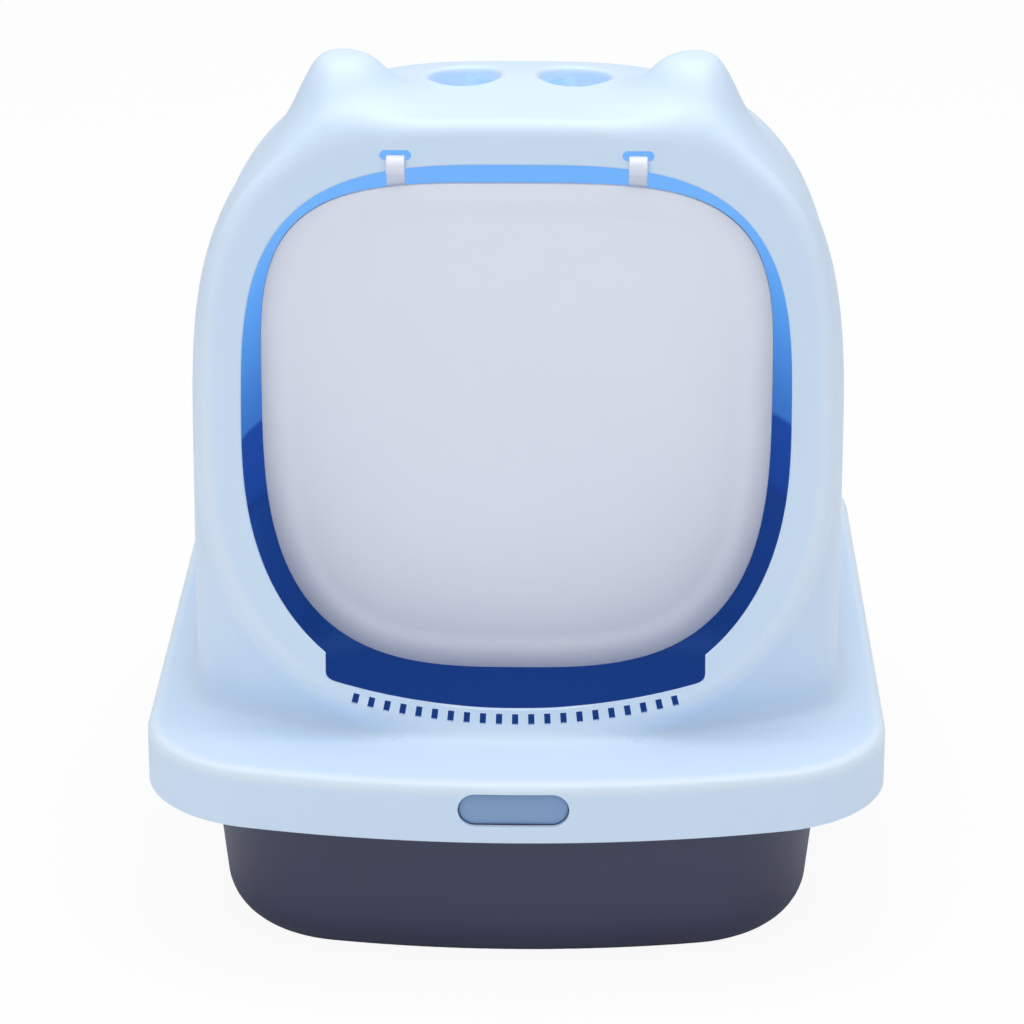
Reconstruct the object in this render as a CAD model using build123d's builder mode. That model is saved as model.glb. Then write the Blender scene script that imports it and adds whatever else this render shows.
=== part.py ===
from build123d import *

import os
from math import cos, degrees, pi, radians, sin, sqrt, tan

# Covered litter box: a deep pan, a tilting hood with a cat flap, and a push button that frees the hood.
# Millimetres, +Z up, the entrance faces -Y. The origin is the middle of the pan's flat bottom.

# Hood flange: the flat deck round the hood and the lip that hangs over the pan's rim
lip_half_width = 200
lip_front = 250
lip_back = 250
lip_bow_radius = 600
lip_front_corner = 75
lip_back_corner = 75
lip_height = 33
deck_top = 119
hood_wall = 2.5
lip_edge_radius = 4

# Entrance ring: a leaning plane that carries the opening
ring_lean = 9
ring_foot_y = -198
ring_foot_rise = 2
ring_half_width = 168
ring_low = 1.5
ring_high = 331
ring_middle = 165
ring_low_power = 2.45
ring_high_power = 3.3
ring_cut = 5

# Hood body behind the ring
body_half_width = 178
body_height = 332.5
body_middle_height = 111
body_flare = 140
body_round_start = 40
body_back = 236
body_roof_start = -90
body_skirt_drop = 21
body_skirt_power = 18
body_roof_power = 3.1
body_plan_power = 3.5
body_profile_power = 2
body_back_slices = 8
# how the ring's round foot turns into the straight skirt: share of the flare, drop below the foot, squareness
foot_levels = [(0.09, 7, 2.5), (0.16, 13, 3.3), (0.33, 18, 7), (0.54, body_skirt_drop, 14)]
foot_levels += [(0.79, body_skirt_drop, body_skirt_power)]

# Opening in the ring, the notch in its sill and the slots below the notch
opening_half_width = 144.7
opening_low = 18
opening_high = 308.8
opening_middle = 171
opening_low_power = 2.45
opening_high_power = 3.3
notch_half_width = 101
notch_radius = 335
notch_corner = 3
notch_top = 60
sill_slots = 21
sill_slot_pitch = 8.6
sill_slot_width = 3.3
sill_slot_height = 6
sill_slot_edge = 2.7

# Flap and its two hooks
flap_axis_v = 308.5
hinge_strip_height = 5
hinge_slot_length = 16.5
hinge_slot_height = 5.3
hinge_relief = 1
hinge_relief_height = 6
hook_x = 63
hook_width = 9.5
hook_thickness = 2
hook_clearance = 0.3
hook_sweep = 240
hook_root = 12
hook_overlap = 0.5
flap_half_width = 135.5
flap_drop = 10
flap_height = 272.6
flap_middle = 157
flap_low_power = 3.05
flap_high_power = 3.8
flap_thickness = 3
flap_border = 16
flap_recess = 0.8
flap_edge_radius = 0.8

# Ears
ear_x = 94.5
ear_y = -102
ear_rise = 21.5
ear_root = 53
ear_length = 1.25
ear_tip_radius = 14
# share of the height, radius, and how far the level lies outwards and back from the tip
ear_levels = [(0, 50, -8, 22), (0.35, 41, -6, 14), (0.62, 31, -5, 7), (0.83, 22, -4, 2), (1, 16.5, 0, 0)]

# Handle: a finger cup under the roof, entered by two oval holes that leave a bar between them
cup_length = 98
cup_width = 54
cup_y = -51
cup_depth = 29.5
cup_wall = 2.5
bar_width = 21
bar_drop = 11.5

# Pan
pan_half_width = 169
pan_front = 233
pan_back = 233
pan_bow_radius = 550
pan_corner = 80
pan_draft = 6
pan_edge_radius = 28
pan_wall = 2.5
rim_thickness = 3
rim_side_gap = 1.5
seat_gap = 0.3

# Rear hinge
hinge_x = 105
hinge_out = 8
hinge_up = 2
knuckle_radius = 5.5
knuckle_width = 14
ear_plate = 7
ear_plate_gap = 0.4
pin_radius = 2.5
pin_clearance = 0.08
pin_head_radius = 4
pin_head_height = 2
pin_tail = 1.2
pin_chamfer = 0.5
hood_open_angle = 80
stop_reach = 11
stop_gap = 0.3
arm_gap = 1.5
arm_height = 10

# Front latch: button, slider with a J-shaped catch, guide, springs and screws
button_length = 58.6
button_height = 18.5
button_drop = 14.5
button_gap = 0.4
button_recess = 2
button_thickness = 3
button_crown = 30
button_travel = 3.5
latch_gap = 0.5
latch_lift_gap = 1
latch_bite = 2.2
latch_wall = 2.5
keeper_half_width = 16
keeper_post = 3
keeper_thickness = 3
keeper_depth = 2.5
keeper_drop = 19
catch_half_width = 9
catch_drop = 3
slider_plate = 2
slider_half_width = 31.5
slider_height = 8
guide_wall = 2
guide_side_gap = 0.5
guide_front_gap = 2
guide_side_drop = 17
guide_ear = 11
guide_ear_width = 8
guide_ear_drop = 11.5
spring_x = 20
spring_radius = 3
spring_wire = 0.7
spring_turns = 5
spring_peg_radius = 1.8
spring_peg_length = 4
spring_gap = 0.1
boss_x = 40
boss_inset = 12
boss_radius = 3.2
screw_radius = 1.25
screw_clearance = 0.05
screw_head_radius = 2.6
screw_head_height = 2
screw_length = 7
screw_drive = 2
bay_side_gap = 2
bay_gap = 4
bay_depth = 31

# Sizes that follow from the others
lip_bottom = deck_top - lip_height
deck_bottom = deck_top - hood_wall
rim_top = deck_bottom - seat_gap
rim_bottom = rim_top - rim_thickness
hinge_y = lip_back + hinge_out
hinge_z = lip_bottom + hinge_up
lean = radians(ring_lean)
ring_foot_z = deck_top + ring_foot_rise
ring_top = ring_foot_z + ring_high * cos(lean)
body_top = deck_top + body_height
body_middle = deck_top + body_middle_height
body_skirt = ring_foot_z - body_skirt_drop
ear_base_z = body_top - ear_root
ear_top = body_top + ear_rise
cup_floor = body_top - cup_depth
bar_low = body_top - bar_drop
finger_hole_x = (cup_length + bar_width) / 4
ring_plane = Plane(
    origin=(0, ring_foot_y, ring_foot_z),
    x_dir=(1, 0, 0),
    z_dir=(0, -cos(lean), sin(lean)),
)
flap_axis = ring_plane.from_local_coords((0, flap_axis_v, -hood_wall / 2))
hook_inner = sqrt(hinge_strip_height**2 + hood_wall**2) / 2 + hook_clearance
hook_outer = hook_inner + hook_thickness
flap_front = flap_axis.Y + hook_inner + hook_overlap - flap_thickness
flap_top = flap_axis.Z - flap_drop
flap_low = flap_top - flap_height
hinge_half = knuckle_width / 2 + ear_plate_gap + ear_plate
hinge_ear_places = [
    side * hinge_x + shift for side in (-1, 1) for shift in (-hinge_half, hinge_half - ear_plate)
]
button_z = deck_top - button_drop
keeper_z = deck_top - keeper_drop
guide_side_low = deck_top - guide_side_drop
guide_ear_z = deck_top - guide_ear_drop
bay_low = deck_top - bay_depth
boss_y = boss_inset - lip_front
button_back = button_recess + button_thickness - lip_front
plate_back = button_back + slider_plate
keeper_front = button_back + button_travel + latch_gap
keeper_back = keeper_front + keeper_depth
stem_front = keeper_back + latch_gap
stem_back = stem_front + latch_wall
catch_front = keeper_back - latch_bite
catch_top = keeper_z - latch_gap
slider_low = keeper_z + keeper_thickness + latch_lift_gap
guide_back = stem_back + button_travel + latch_lift_gap
guide_front = lip_front - hood_wall - guide_front_gap
guide_half = slider_half_width + guide_side_gap + guide_wall
bay_half_width = guide_half + guide_ear + bay_side_gap
bay_back = guide_back + guide_wall + bay_gap
spring_z = slider_low + slider_height / 2


def bowed_outline(half_width, front, back, bow, front_corner, back_corner):
    """A closed outline with a bowed front, straight sides and a straight back."""
    sag = bow - sqrt(bow**2 - half_width**2)
    with BuildSketch() as outline:
        with BuildLine():
            ThreePointArc((-half_width, sag - front), (0, -front), (half_width, sag - front))
            Polyline(
                (half_width, sag - front), (half_width, back), (-half_width, back), (-half_width, sag - front)
            )
        make_face()
        fillet(outline.vertices().group_by(Axis.Y)[-1], back_corner)
        fillet(outline.vertices().group_by(Axis.Y)[0], front_corner)
    return outline.sketch


def oval_points(half_width, low, high, middle, low_power, high_power, count=32):
    """Points round an oval whose lower and upper halves have their own squareness."""
    points = []
    for i in range(count):
        angle = 2 * pi * i / count - pi / 2
        power, reach = (high_power, high - middle) if sin(angle) > 0 else (low_power, middle - low)
        radius = (abs(cos(angle)) ** power + abs(sin(angle)) ** power) ** (-1 / power)
        points.append((half_width * radius * cos(angle), middle + reach * radius * sin(angle)))
    return points


def oval_slice(plane, *sizes):
    """An oval face on a plane, for a loft."""
    with BuildSketch(plane) as face:
        with BuildLine():
            Spline(*oval_points(*sizes), periodic=True)
        make_face()
    return face.sketch


def bulge(share, power):
    """How much of a rounded end's full size is left at a share of its length."""
    return (1 - share**power) ** (1 / power)


def hood_sections(inset):
    """Upright slices of the hood body from the ring to the back, each drawn in by inset."""
    slices = []
    for share, drop, low_power in [(0, None, ring_low_power), *foot_levels]:
        tilt = lean * (1 - share)
        plane = Plane(
            origin=(0, ring_foot_y + share * body_flare + inset, ring_foot_z),
            x_dir=(1, 0, 0),
            z_dir=(0, -cos(tilt), sin(tilt)),
        )
        width = ring_half_width + (body_half_width - ring_half_width) * (1 - (1 - share) ** 2)
        high = (ring_top + (body_top - ring_top) * share - ring_foot_z) / cos(tilt)
        low = ring_low if drop is None else -drop / cos(tilt)
        middle = ring_middle + (body_middle - ring_foot_z - ring_middle) * share
        rise = 0 if drop == body_skirt_drop else inset
        high_power = ring_high_power + (body_roof_power - ring_high_power) * share
        sizes = (width - inset, low + rise, high - inset, middle, low_power, high_power)
        slices.append(oval_slice(plane, *sizes))
    flare_end = ring_foot_y + body_flare
    straight = [(flare_end, 0), ((flare_end + body_round_start) / 2, 0)]
    round_shares = [sin(pi / 2 * i / body_back_slices) for i in range(body_back_slices)]
    back = [(body_round_start + (body_back - body_round_start) * share, share) for share in round_shares]
    for y, share in straight + back:
        fall = (y - body_roof_start) / (body_back - body_roof_start)
        width = body_half_width * bulge(share, body_plan_power)
        high = body_middle + (body_top - body_middle) * bulge(fall, body_profile_power)
        plane = Plane(origin=(0, y - inset * share, 0), x_dir=(1, 0, 0), z_dir=(0, -1, 0))
        sizes = (width - inset, body_skirt, high - inset, body_middle, body_skirt_power, body_roof_power)
        slices.append(oval_slice(plane, *sizes))
    return slices


def ear_blank(side, inset):
    """One ear as a solid, from inside the roof to its rounded tip, drawn in by inset."""
    with BuildPart() as ear:
        for share, radius, out, back in ear_levels:
            z = ear_base_z + (ear_top - ear_base_z - inset) * share
            with BuildSketch(Plane.XY.offset(z)):
                with Locations((side * (ear_x + out), ear_y + back)):
                    Ellipse(radius - inset, radius * ear_length - inset)
        loft()
        fillet(ear.faces().sort_by(Axis.Z)[-1].edges(), ear_tip_radius - inset)
    return ear.part


lip_outline = bowed_outline(
    lip_half_width, lip_front, lip_back, lip_bow_radius, lip_front_corner, lip_back_corner
)
lip_inner = bowed_outline(
    lip_half_width - hood_wall,
    lip_front - hood_wall,
    lip_back - hood_wall,
    lip_bow_radius - hood_wall,
    lip_front_corner - hood_wall,
    lip_back_corner - hood_wall,
)
rim_inset = hood_wall + rim_side_gap
rim_outline = bowed_outline(
    lip_half_width - rim_inset,
    lip_front - rim_inset,
    lip_back - rim_inset,
    lip_bow_radius - rim_inset,
    lip_front_corner - rim_inset,
    lip_back_corner - rim_inset,
)

# Room inside the hood, round the block that holds the finger cup
with BuildPart() as hood_room:
    for face in hood_sections(hood_wall):
        add(face)
    loft()
    for side in (-1, 1):
        add(ear_blank(side, hood_wall))
    with BuildSketch(Plane.XY.offset(cup_floor - cup_wall)):
        with Locations((0, cup_y)):
            SlotOverall(cup_length + 2 * cup_wall, cup_width + 2 * cup_wall)
    extrude(amount=2 * cup_depth, mode=Mode.SUBTRACT)

# Hood shell: the body with its ears, hollowed, with every cut in the ring
with BuildPart() as hood_shell:
    for face in hood_sections(0):
        add(face)
    loft()
    for side in (-1, 1):
        add(ear_blank(side, 0))
    split(bisect_by=Plane.XY.offset(deck_bottom + hood_wall / 2), keep=Keep.TOP)
    add(hood_room.part, mode=Mode.SUBTRACT)
    # finger cup under the bar, then the holes on each side of the bar
    with BuildSketch(Plane.XY.offset(cup_floor)):
        with Locations((0, cup_y)):
            SlotOverall(cup_length, cup_width)
    extrude(amount=bar_low - cup_floor, mode=Mode.SUBTRACT)
    with BuildSketch(Plane.XY.offset(cup_floor)):
        with Locations((-finger_hole_x, cup_y), (finger_hole_x, cup_y)):
            Ellipse((cup_length - bar_width) / 4, cup_width / 2)
    extrude(amount=2 * cup_depth, mode=Mode.SUBTRACT)
    # opening, with the notch in its sill and the slots below the notch
    with BuildSketch(ring_plane):
        with BuildLine():
            opening_heights = (opening_low, opening_high, opening_middle)
            opening_powers = (opening_low_power, opening_high_power)
            Spline(*oval_points(opening_half_width, *opening_heights, *opening_powers), periodic=True)
        make_face()
    extrude(amount=ring_cut, both=True, mode=Mode.SUBTRACT)
    notch_sag = notch_radius - sqrt(notch_radius**2 - notch_half_width**2)
    with BuildSketch(ring_plane) as notch:
        with BuildLine():
            ThreePointArc(
                (-notch_half_width, opening_low + notch_sag),
                (0, opening_low),
                (notch_half_width, opening_low + notch_sag),
            )
            Polyline(
                (notch_half_width, opening_low + notch_sag),
                (notch_half_width, notch_top),
                (-notch_half_width, notch_top),
                (-notch_half_width, opening_low + notch_sag),
            )
        make_face()
        fillet(notch.vertices().group_by(Axis.Y)[0], notch_corner)
    extrude(amount=ring_cut, both=True, mode=Mode.SUBTRACT)
    slot_radius = notch_radius + sill_slot_edge + sill_slot_height / 2
    slot_spread = degrees(sill_slot_pitch * (sill_slots - 1) / slot_radius)
    with BuildSketch(ring_plane):
        with Locations((0, opening_low + notch_radius)):
            with PolarLocations(slot_radius, sill_slots, -90 - slot_spread / 2, slot_spread, endpoint=True):
                Rectangle(sill_slot_height, sill_slot_width)
    extrude(amount=ring_cut, both=True, mode=Mode.SUBTRACT)
    # slots for the flap's hooks, with a straight lower edge on each hinge strip
    with BuildSketch(ring_plane):
        with Locations((-hook_x, flap_axis_v), (hook_x, flap_axis_v)):
            with Locations((0, (hinge_strip_height + hinge_slot_height) / 2)):
                SlotOverall(hinge_slot_length, hinge_slot_height)
            with Locations((0, -(hinge_strip_height + hinge_relief_height) / 2)):
                Rectangle(hook_width + 2 * hinge_relief, hinge_relief_height)
    extrude(amount=ring_cut, both=True, mode=Mode.SUBTRACT)

# Hood: the shell on its flange, with the handle, the bosses and the hinge ears, all one moulding
with BuildPart() as hood:
    with BuildSketch(Plane.XY.offset(lip_bottom)):
        add(lip_outline)
    extrude(amount=deck_top - lip_bottom)
    fillet(hood.faces().sort_by(Axis.Z)[-1].edges(), lip_edge_radius)
    with BuildSketch(Plane.XY.offset(lip_bottom)):
        add(lip_inner)
    extrude(amount=deck_bottom - lip_bottom, mode=Mode.SUBTRACT)
    add(hood_room.part, mode=Mode.SUBTRACT)
    # slot for the latch button in the lip
    with BuildSketch(Plane.XZ.offset(lip_front + hood_wall)):
        with Locations((0, button_z)):
            SlotOverall(button_length, button_height)
    extrude(amount=-3 * hood_wall, mode=Mode.SUBTRACT)
    # bosses for the guide's screws
    with BuildSketch(Plane.XY.offset(guide_ear_z + guide_wall)):
        with Locations((-boss_x, boss_y), (boss_x, boss_y)):
            Circle(boss_radius)
    extrude(amount=deck_top - hood_wall / 2 - guide_ear_z - guide_wall)
    with BuildSketch(Plane.XY.offset(guide_ear_z + guide_wall)):
        with Locations((-boss_x, boss_y), (boss_x, boss_y)):
            Circle(screw_radius + screw_clearance)
    extrude(amount=screw_length - guide_wall + latch_gap, mode=Mode.SUBTRACT)
    # hinge ears on the back of the lip
    for x in hinge_ear_places:
        with BuildSketch(Plane.YZ.offset(x)):
            with BuildLine():
                Polyline(
                    (lip_back - hood_wall / 2, lip_bottom),
                    (hinge_y, hinge_z - knuckle_radius),
                    (hinge_y, hinge_z + knuckle_radius),
                    (lip_back - hood_wall / 2, hinge_z + 2 * knuckle_radius),
                    close=True,
                )
            make_face()
            with Locations((hinge_y, hinge_z)):
                Circle(knuckle_radius)
                Circle(pin_radius + pin_clearance, mode=Mode.SUBTRACT)
        extrude(amount=ear_plate)
    add(hood_shell.part)
hood.part.label = "hood"

# Flap: a thin plate with a shallow recessed panel, hung by two open hooks
with BuildPart() as flap:
    for shrink, depth, how in ((0, flap_thickness, Mode.ADD), (flap_border, flap_recess, Mode.SUBTRACT)):
        with BuildSketch(Plane.XZ.offset(-flap_front)):
            with BuildLine():
                flap_heights = (flap_low + shrink, flap_top - shrink, flap_low + flap_middle)
                flap_powers = (flap_low_power, flap_high_power)
                Spline(*oval_points(flap_half_width - shrink, *flap_heights, *flap_powers), periodic=True)
            make_face()
        extrude(amount=-depth, mode=how)
    for x in (-hook_x, hook_x):
        with BuildSketch(Plane.YZ.offset(x - hook_width / 2)):
            with BuildLine():
                curl_in = CenterArc((flap_axis.Y, flap_axis.Z), hook_inner, 0, hook_sweep)
                curl_out = CenterArc((flap_axis.Y, flap_axis.Z), hook_outer, 0, hook_sweep)
                Line(curl_in @ 0, curl_out @ 0)
                Line(curl_in @ 1, curl_out @ 1)
            make_face()
            with Locations((flap_axis.Y + (hook_inner + hook_outer) / 2, flap_axis.Z)):
                Rectangle(hook_thickness, flap_drop + hook_root, align=(Align.CENTER, Align.MAX))
        extrude(amount=hook_width)
flap.part.label = "flap"


def bowl(inset, floor):
    """The pan's rounded bowl, drawn in by inset, from the floor to the rim's top."""
    lean_in = (rim_top - floor) * tan(radians(pan_draft))
    with BuildPart() as solid:
        for z, shrink in ((floor, inset + lean_in), (rim_top, inset)):
            with BuildSketch(Plane.XY.offset(z)):
                add(
                    bowed_outline(
                        pan_half_width - shrink,
                        pan_front - shrink,
                        pan_back - shrink,
                        pan_bow_radius - shrink,
                        pan_corner - shrink,
                        pan_corner - shrink,
                    )
                )
        loft(ruled=True)
        fillet(solid.faces().sort_by(Axis.Z)[0].edges(), pan_edge_radius - inset)
    return solid.part


# Room inside the pan, short of the latch bay
with BuildPart() as pan_room:
    add(bowl(pan_wall, pan_wall))
    with BuildSketch(Plane.XY.offset(bay_low - pan_wall)):
        with Locations((0, bay_back + pan_wall)):
            Rectangle(2 * (bay_half_width + pan_wall), pan_front, align=(Align.CENTER, Align.MAX))
    extrude(amount=deck_top, mode=Mode.SUBTRACT)

# Pan: a bowl with a flat rim, a bay for the latch with its keeper, and two hinge arms
with BuildPart() as pan:
    add(bowl(0, 0))
    with BuildSketch(Plane.XY.offset(rim_bottom)):
        add(rim_outline)
    extrude(amount=rim_thickness)
    add(pan_room.part, mode=Mode.SUBTRACT)
    # latch bay: open to the front and the top, hidden behind the hood's lip
    with BuildSketch(Plane.XY.offset(bay_low)):
        with Locations((0, bay_back)):
            Rectangle(2 * bay_half_width, pan_front, align=(Align.CENTER, Align.MAX))
    extrude(amount=deck_top, mode=Mode.SUBTRACT)
    # keeper: a bar on two posts, which the catch hooks under
    with BuildSketch(Plane.XY.offset(keeper_z)):
        with Locations((0, keeper_front)):
            Rectangle(2 * keeper_half_width, keeper_depth, align=(Align.CENTER, Align.MIN))
        with Locations(
            (keeper_post / 2 - keeper_half_width, keeper_front),
            (keeper_half_width - keeper_post / 2, keeper_front),
        ):
            Rectangle(keeper_post, bay_back + pan_wall / 2 - keeper_front, align=(Align.CENTER, Align.MIN))
    extrude(amount=keeper_thickness)
    # hinge arms under the back of the lip, each with a knuckle and a stop for the open hood
    arm_top = lip_bottom - arm_gap
    arm_root = pan_back - (rim_top - arm_top) * tan(radians(pan_draft)) - pan_wall / 2
    arm_low_root = pan_back - (rim_top - arm_top + arm_height) * tan(radians(pan_draft)) - pan_wall / 2
    open_angle = radians(hood_open_angle)
    stop_points = [
        (hinge_y + reach, hinge_z + (hinge_out + reach * cos(open_angle)) / sin(open_angle) - stop_gap)
        for reach in (stop_reach, knuckle_radius)
    ]
    for x in (-hinge_x, hinge_x):
        with BuildSketch(Plane.YZ.offset(x - knuckle_width / 2)):
            with BuildLine():
                Polyline(
                    (arm_low_root, arm_top - arm_height),
                    (hinge_y, hinge_z - knuckle_radius),
                    (hinge_y + stop_reach, hinge_z - knuckle_radius),
                    *stop_points,
                    (hinge_y, hinge_z),
                    (hinge_y - knuckle_radius, arm_top),
                    (arm_root, arm_top),
                    close=True,
                )
            make_face()
            with Locations((hinge_y, hinge_z)):
                Circle(knuckle_radius)
                Circle(pin_radius + pin_clearance, mode=Mode.SUBTRACT)
        extrude(amount=knuckle_width)
pan.part.label = "pan"

# Hinge pins: a headed pin through each pair of ears and the knuckle between them
hinge_pins = []
for side, name in ((-1, "hinge_pin_left"), (1, "hinge_pin_right")):
    with BuildPart() as pin:
        with BuildSketch(Plane.YZ.offset(side * (hinge_x - hinge_half - pin_tail))):
            with Locations((hinge_y, hinge_z)):
                Circle(pin_radius)
        extrude(amount=side * (2 * hinge_half + pin_tail))
        with BuildSketch(Plane.YZ.offset(side * (hinge_x + hinge_half))):
            with Locations((hinge_y, hinge_z)):
                Circle(pin_head_radius)
        extrude(amount=side * pin_head_height)
        chamfer(pin.edges().filter_by(GeomType.CIRCLE).group_by(Axis.X)[0 if side > 0 else -1], pin_chamfer)
    pin.part.label = name
    hinge_pins.append(pin)

# Latch button: a stadium cap with a crowned face
with BuildPart() as latch_button:
    with BuildSketch(Plane.XZ.offset(-button_back)):
        with Locations((0, button_z)):
            SlotOverall(button_length - 2 * button_gap, button_height - 2 * button_gap)
    extrude(amount=button_thickness)
    with BuildSketch(Plane.YZ.offset(-button_length / 2)):
        with Locations((button_back - button_thickness + button_crown, button_z)):
            Circle(button_crown)
    extrude(amount=button_length, mode=Mode.INTERSECT)
latch_button.part.label = "latch_button"

# Latch slider: a plate behind the button, pegs for the springs, and a catch that drops behind the keeper
with BuildPart() as latch_slider:
    with BuildSketch(Plane.XY.offset(slider_low)):
        with Locations((0, button_back)):
            Rectangle(2 * slider_half_width, slider_plate, align=(Align.CENTER, Align.MIN))
    extrude(amount=slider_height)
    with BuildSketch(Plane.YZ.offset(-catch_half_width)):
        with BuildLine():
            Polyline(
                (button_back, slider_low),
                (stem_front, slider_low),
                (stem_front, catch_top),
                (catch_front, catch_top),
                (catch_front, catch_top - catch_drop / 2),
                (catch_front + catch_drop / 2, catch_top - catch_drop),
                (stem_back, catch_top - catch_drop),
                (stem_back, slider_low + catch_drop),
                (button_back, slider_low + catch_drop),
                close=True,
            )
        make_face()
    extrude(amount=2 * catch_half_width)
    with BuildSketch(Plane.XZ.offset(-plate_back)):
        with Locations((-spring_x, spring_z), (spring_x, spring_z)):
            Circle(spring_peg_radius)
    extrude(amount=-spring_peg_length)
latch_slider.part.label = "latch_slider"

# Latch guide: a box frame screwed under the deck, which carries the slider and backs the springs
with BuildPart() as latch_guide:
    with BuildSketch(Plane.XY.offset(deck_bottom - guide_wall)):
        with Locations((0, -guide_front)):
            Rectangle(2 * guide_half, guide_back + guide_wall + guide_front, align=(Align.CENTER, Align.MIN))
    extrude(amount=guide_wall)
    with BuildSketch(Plane.XY.offset(slider_low)):
        with Locations((0, guide_back)):
            Rectangle(2 * guide_half, guide_wall, align=(Align.CENTER, Align.MIN))
    extrude(amount=deck_bottom - slider_low)
    with BuildSketch(Plane.XY.offset(guide_side_low)):
        for side in (-1, 1):
            with Locations((side * (guide_half - guide_wall / 2), -guide_front)):
                Rectangle(guide_wall, guide_back + guide_wall + guide_front, align=(Align.CENTER, Align.MIN))
    extrude(amount=deck_bottom - guide_side_low)
    with BuildSketch(Plane.XY.offset(guide_ear_z)):
        for side in (-1, 1):
            with Locations((side * (guide_half + guide_ear / 2), boss_y)):
                RectangleRounded(guide_ear, guide_ear_width, guide_wall / 2)
            with Locations((side * guide_half, boss_y)):
                Rectangle(guide_wall, guide_ear_width)
            with Locations((side * boss_x, boss_y)):
                Circle(screw_radius + screw_clearance, mode=Mode.SUBTRACT)
    extrude(amount=guide_wall)
latch_guide.part.label = "latch_guide"

# Guide screws: one on each side, driven up into the hood's bosses
guide_screws = []
for side, name in ((-1, "guide_screw_left"), (1, "guide_screw_right")):
    with BuildPart() as screw:
        with BuildSketch(Plane.XY.offset(guide_ear_z)):
            with Locations((side * boss_x, boss_y)):
                Circle(screw_head_radius)
        extrude(amount=-screw_head_height)
        with BuildSketch(Plane.XY.offset(guide_ear_z - screw_head_height)):
            with Locations((side * boss_x, boss_y)):
                Rectangle(screw_drive, screw_drive, rotation=45)
        extrude(amount=screw_head_height / 2, mode=Mode.SUBTRACT)
        with BuildSketch(Plane.XY.offset(guide_ear_z)):
            with Locations((side * boss_x, boss_y)):
                Circle(screw_radius)
        extrude(amount=screw_length)
    screw.part.label = name
    guide_screws.append(screw)

# Latch springs: compression coils between the slider and the guide
latch_springs = []
spring_room = guide_back - plate_back
for side, name in ((-1, "latch_spring_left"), (1, "latch_spring_right")):
    with BuildPart() as spring:
        coil_length = spring_room - spring_wire - 2 * spring_gap
        with BuildLine() as coil:
            Helix(
                coil_length / spring_turns,
                coil_length,
                spring_radius - spring_wire / 2,
                center=(side * spring_x, plate_back + spring_wire / 2 + spring_gap, spring_z),
                direction=(0, 1, 0),
            )
        with BuildSketch(Plane(origin=coil.line @ 0, z_dir=coil.line % 0)):
            Circle(spring_wire / 2)
        sweep(path=coil.line, is_frenet=True)
    spring.part.label = name
    latch_springs.append(spring)

os.makedirs("parts", exist_ok=True)
latch = [latch_button, latch_slider, latch_guide, *guide_screws, *latch_springs]
for piece in [hood, flap, pan, *hinge_pins, *latch]:
    export_step(piece.part, f"parts/{piece.part.label}.step")
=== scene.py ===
import math

import bmesh
import bpy
import numpy as np
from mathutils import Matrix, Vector


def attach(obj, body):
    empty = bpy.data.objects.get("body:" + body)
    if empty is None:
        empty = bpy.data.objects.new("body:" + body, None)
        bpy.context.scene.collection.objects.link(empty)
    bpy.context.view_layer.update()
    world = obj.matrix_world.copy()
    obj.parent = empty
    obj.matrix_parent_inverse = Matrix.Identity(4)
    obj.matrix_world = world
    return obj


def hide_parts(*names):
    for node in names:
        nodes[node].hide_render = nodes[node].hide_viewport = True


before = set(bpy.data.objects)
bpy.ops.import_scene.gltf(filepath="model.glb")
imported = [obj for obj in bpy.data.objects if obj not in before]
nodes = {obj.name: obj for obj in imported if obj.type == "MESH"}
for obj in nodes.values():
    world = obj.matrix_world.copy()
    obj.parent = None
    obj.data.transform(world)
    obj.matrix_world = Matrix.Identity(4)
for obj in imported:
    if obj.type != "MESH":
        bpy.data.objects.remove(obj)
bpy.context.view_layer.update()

MM = 0.001
LEAN = math.radians(9)

# Hood, in millimetres, as in the solid model
LIP_HALF = 200
LIP_REACH = 250
LIP_BOW = 600
LIP_FRONT_CORNER = 75
LIP_BACK_CORNER = 75
LIP_LOW = 86
DECK_TOP = 119
WALL = 2.5
RING_FOOT_Y = -198
RING_FOOT_Z = 121
RING_HALF = 168
RING_RISE = 1.5
RING_TOP = RING_FOOT_Z + 331 * math.cos(LEAN)
RING_MIDDLE = RING_FOOT_Z + 165 * math.cos(LEAN)
BODY_HALF = 178
BODY_TOP = 451.5
BODY_MIDDLE = 230
BODY_FLARE = 140
BODY_ROUND = 40
BODY_BACK = 236
LAST_SLICE = 1
ROOF_START = -90
SKIRT = 100
SKIRT_AT = 0.5
PLAN_POWER = 3.5
PROFILE_POWER = 2
# squareness of the body's slices, from the ring to the full body
UPPER_POWER = (3.3, 3.1)
LOWER_POWER = (2.45, 17.95)
LOWER_SQUARE_AT = 0.85
EAR_X = 94.5
EAR_Y = -102
EAR_TOP = 473
EAR_TIP = 11.8
EAR_SLOPE = 2.1
EAR_TURN = 2.5
EAR_REACH = 38
# how much longer an ear runs towards the middle, to the front and to the back than outwards
EAR_INWARD = 1.6
EAR_FORWARD = 1.6
EAR_BACKWARD = 1.8
CUP_HALF = 49
CUP_RADIUS = 27
CUP_Y = -51
CUP_FLOOR = 422
BAR_LOW = 440
HOLE_X = 29.75
HOLE_HALF = 19.25
HINGE_X = 105
HINGE_Y = 258
HINGE_Z = 88
PLATE = (7.4, 14.4)
PLATE_ROUND = 5.5
PIN_HOLE = 2.58
FLAP_OVAL = (135.5, 142.9, 415.5, 299.9, 3.05, 3.8)
FLAP_FRONT = -147.91
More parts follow.
